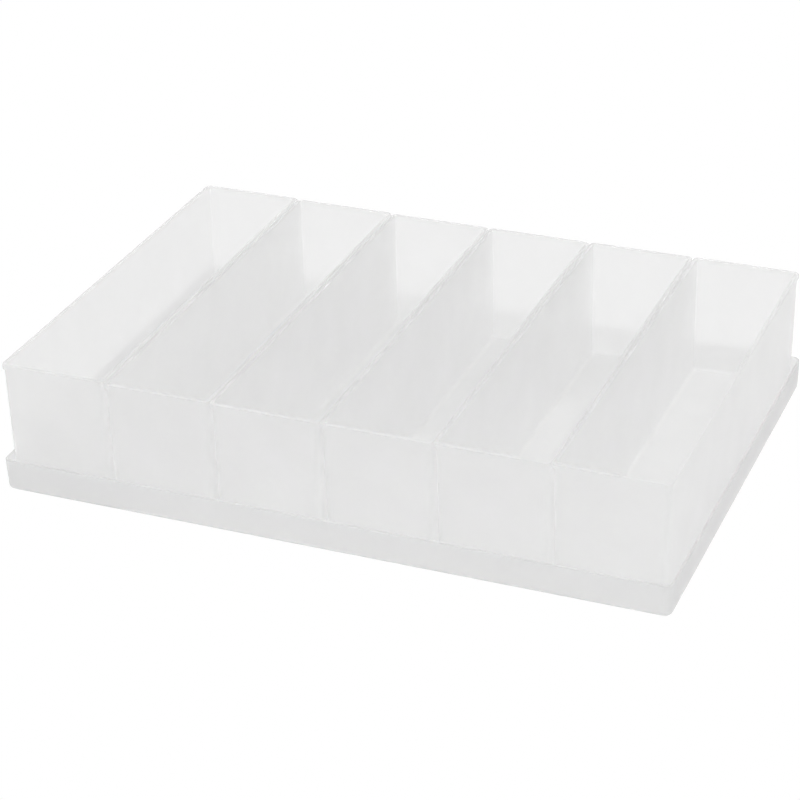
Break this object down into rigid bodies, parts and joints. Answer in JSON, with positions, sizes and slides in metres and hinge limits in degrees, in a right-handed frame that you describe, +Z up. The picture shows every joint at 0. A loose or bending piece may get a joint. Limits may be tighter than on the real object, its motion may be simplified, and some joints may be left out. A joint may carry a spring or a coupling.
{
  "type": "parts sorting tray",
  "caption": "Shallow translucent tray holding a row of long, narrow, open-topped bins that lift out one by one, for sorting small parts.",
  "frame": {"origin": "middle of the tray's flat underside", "axes": "+X along the row of bins, +Y along each bin towards the back, +Z up"},
  "size_m": [0.32, 0.222, 0.063],
  "materials": {
    "tray_plastic": "milky translucent polypropylene, plain moulded, soft sheen",
    "bin_plastic": "milky translucent polypropylene, plain moulded, soft sheen"
  },
  "bodies": {
    "tray": {"tray": "tray_plastic"},
    "bin_1": {"bin_1": "bin_plastic"},
    "bin_2": {"bin_2": "bin_plastic"},
    "bin_3": {"bin_3": "bin_plastic"},
    "bin_4": {"bin_4": "bin_plastic"},
    "bin_5": {"bin_5": "bin_plastic"},
    "bin_6": {"bin_6": "bin_plastic"}
  },
  "joints": [
    {"name": "bin_1_lift", "type": "slide", "parent": "tray", "child": "bin_1", "axis": [0, 0, 1], "range_m": [0, 0.066]},
    {"name": "bin_2_lift", "type": "slide", "parent": "tray", "child": "bin_2", "axis": [0, 0, 1], "range_m": [0, 0.066]},
    {"name": "bin_3_lift", "type": "slide", "parent": "tray", "child": "bin_3", "axis": [0, 0, 1], "range_m": [0, 0.066]},
    {"name": "bin_4_lift", "type": "slide", "parent": "tray", "child": "bin_4", "axis": [0, 0, 1], "range_m": [0, 0.066]},
    {"name": "bin_5_lift", "type": "slide", "parent": "tray", "child": "bin_5", "axis": [0, 0, 1], "range_m": [0, 0.066]},
    {"name": "bin_6_lift", "type": "slide", "parent": "tray", "child": "bin_6", "axis": [0, 0, 1], "range_m": [0, 0.066]}
  ]
}
